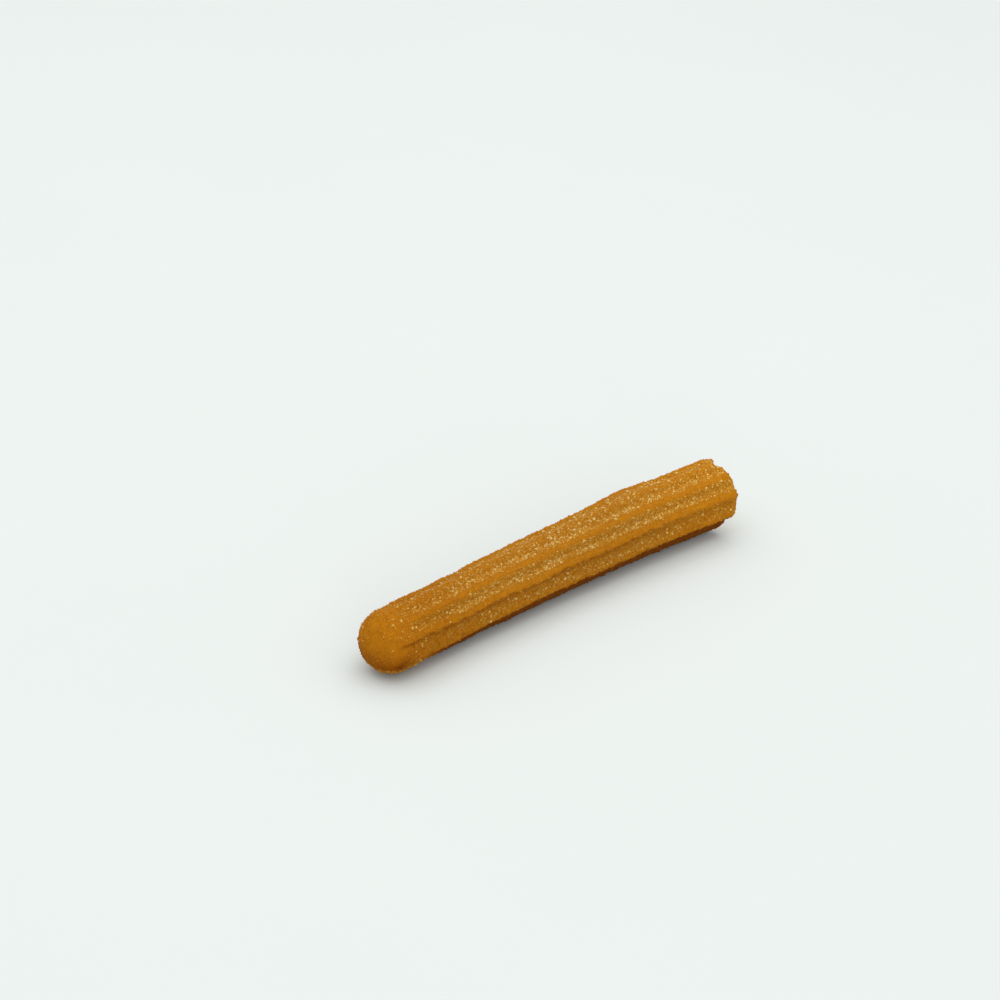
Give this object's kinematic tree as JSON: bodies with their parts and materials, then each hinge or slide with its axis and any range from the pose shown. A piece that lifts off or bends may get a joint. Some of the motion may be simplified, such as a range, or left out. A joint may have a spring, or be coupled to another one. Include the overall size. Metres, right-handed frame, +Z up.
{
  "type": "churro",
  "caption": "Straight stick of fried dough with star ridges along it, a closed round nose at one end and a plain cut at the other, rolled in sugar.",
  "frame": {"origin": "centre of the bottom of the churro's box, on the surface that it rests on", "axes": "+X along the stick from the round nose to the cut end, +Y across it towards the outside of its slight bend, +Z up"},
  "size_m": [0.1808, 0.0288, 0.0269],
  "materials": {
    "churro_crust": "matt golden-brown fried crust with sugar grains"
  },
  "bodies": {
    "root": {"churro": "churro_crust"}
  },
  "joints": []
}
